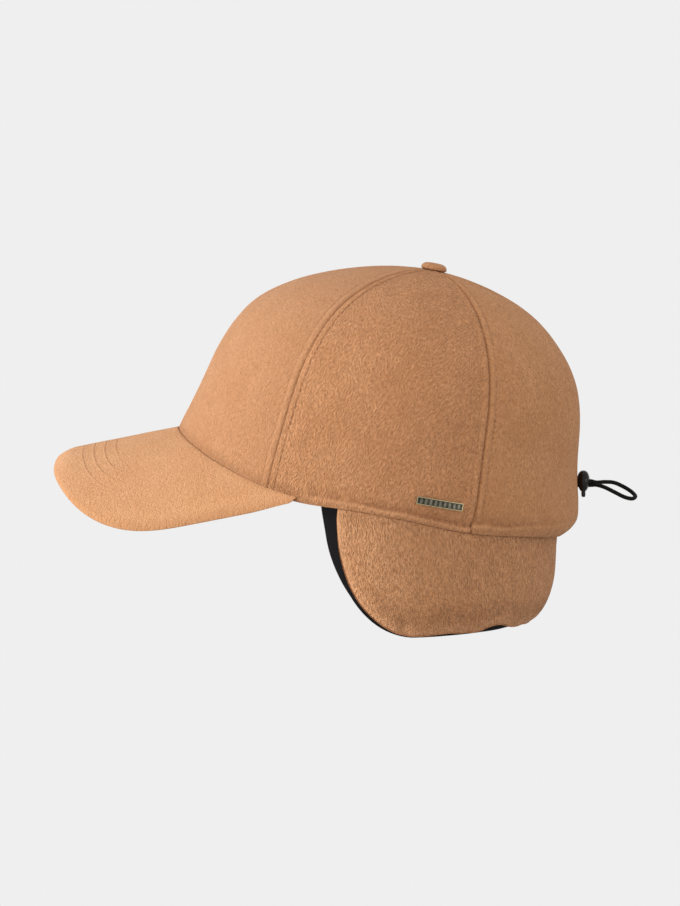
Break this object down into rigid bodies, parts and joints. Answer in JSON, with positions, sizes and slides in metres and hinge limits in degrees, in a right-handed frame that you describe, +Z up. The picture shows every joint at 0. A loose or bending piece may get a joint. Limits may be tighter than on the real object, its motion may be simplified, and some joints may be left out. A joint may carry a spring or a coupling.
{
  "type": "wool baseball cap with ear and neck flap",
  "caption": "Camel wool baseball cap with an arched peak, black-lined fold-down ear and neck flap, back drawcord with a lock and a small side badge.",
  "frame": {"origin": "centre of the rim's opening, where a head holds the cap", "axes": "+Z up, the peak along -Y, the wearer's left along +X"},
  "size_m": [0.1734, 0.3006, 0.1859],
  "materials": {
    "wool": "brushed camel wool with a short nap",
    "lining": "matt black knitted lining",
    "badge_metal": "aged metal with a dark field",
    "elastic": "black elastic cord",
    "lock_plastic": "black moulded plastic"
  },
  "bodies": {
    "cap": {"crown_panel_front_left": "wool", "crown_panel_front_right": "wool", "crown_panel_side_left": "wool", "crown_panel_side_right": "wool", "crown_panel_back_left": "wool", "crown_panel_back_right": "wool", "top_button": "wool", "peak": "wool", "ear_neck_flap": "wool", "flap_lining": "lining", "side_badge": "badge_metal", "drawcord": "elastic", "cord_lock_body": "lock_plastic"},
    "plunger": {"cord_lock_plunger": "lock_plastic"}
  },
  "joints": [
    {"name": "lock_plunger_slide", "type": "slide", "parent": "cap", "child": "plunger", "axis": [0, 0, 1], "range_m": [0, 0.0018], "stiffness_N_per_m": 150, "springref_m": -0.002}
  ]
}
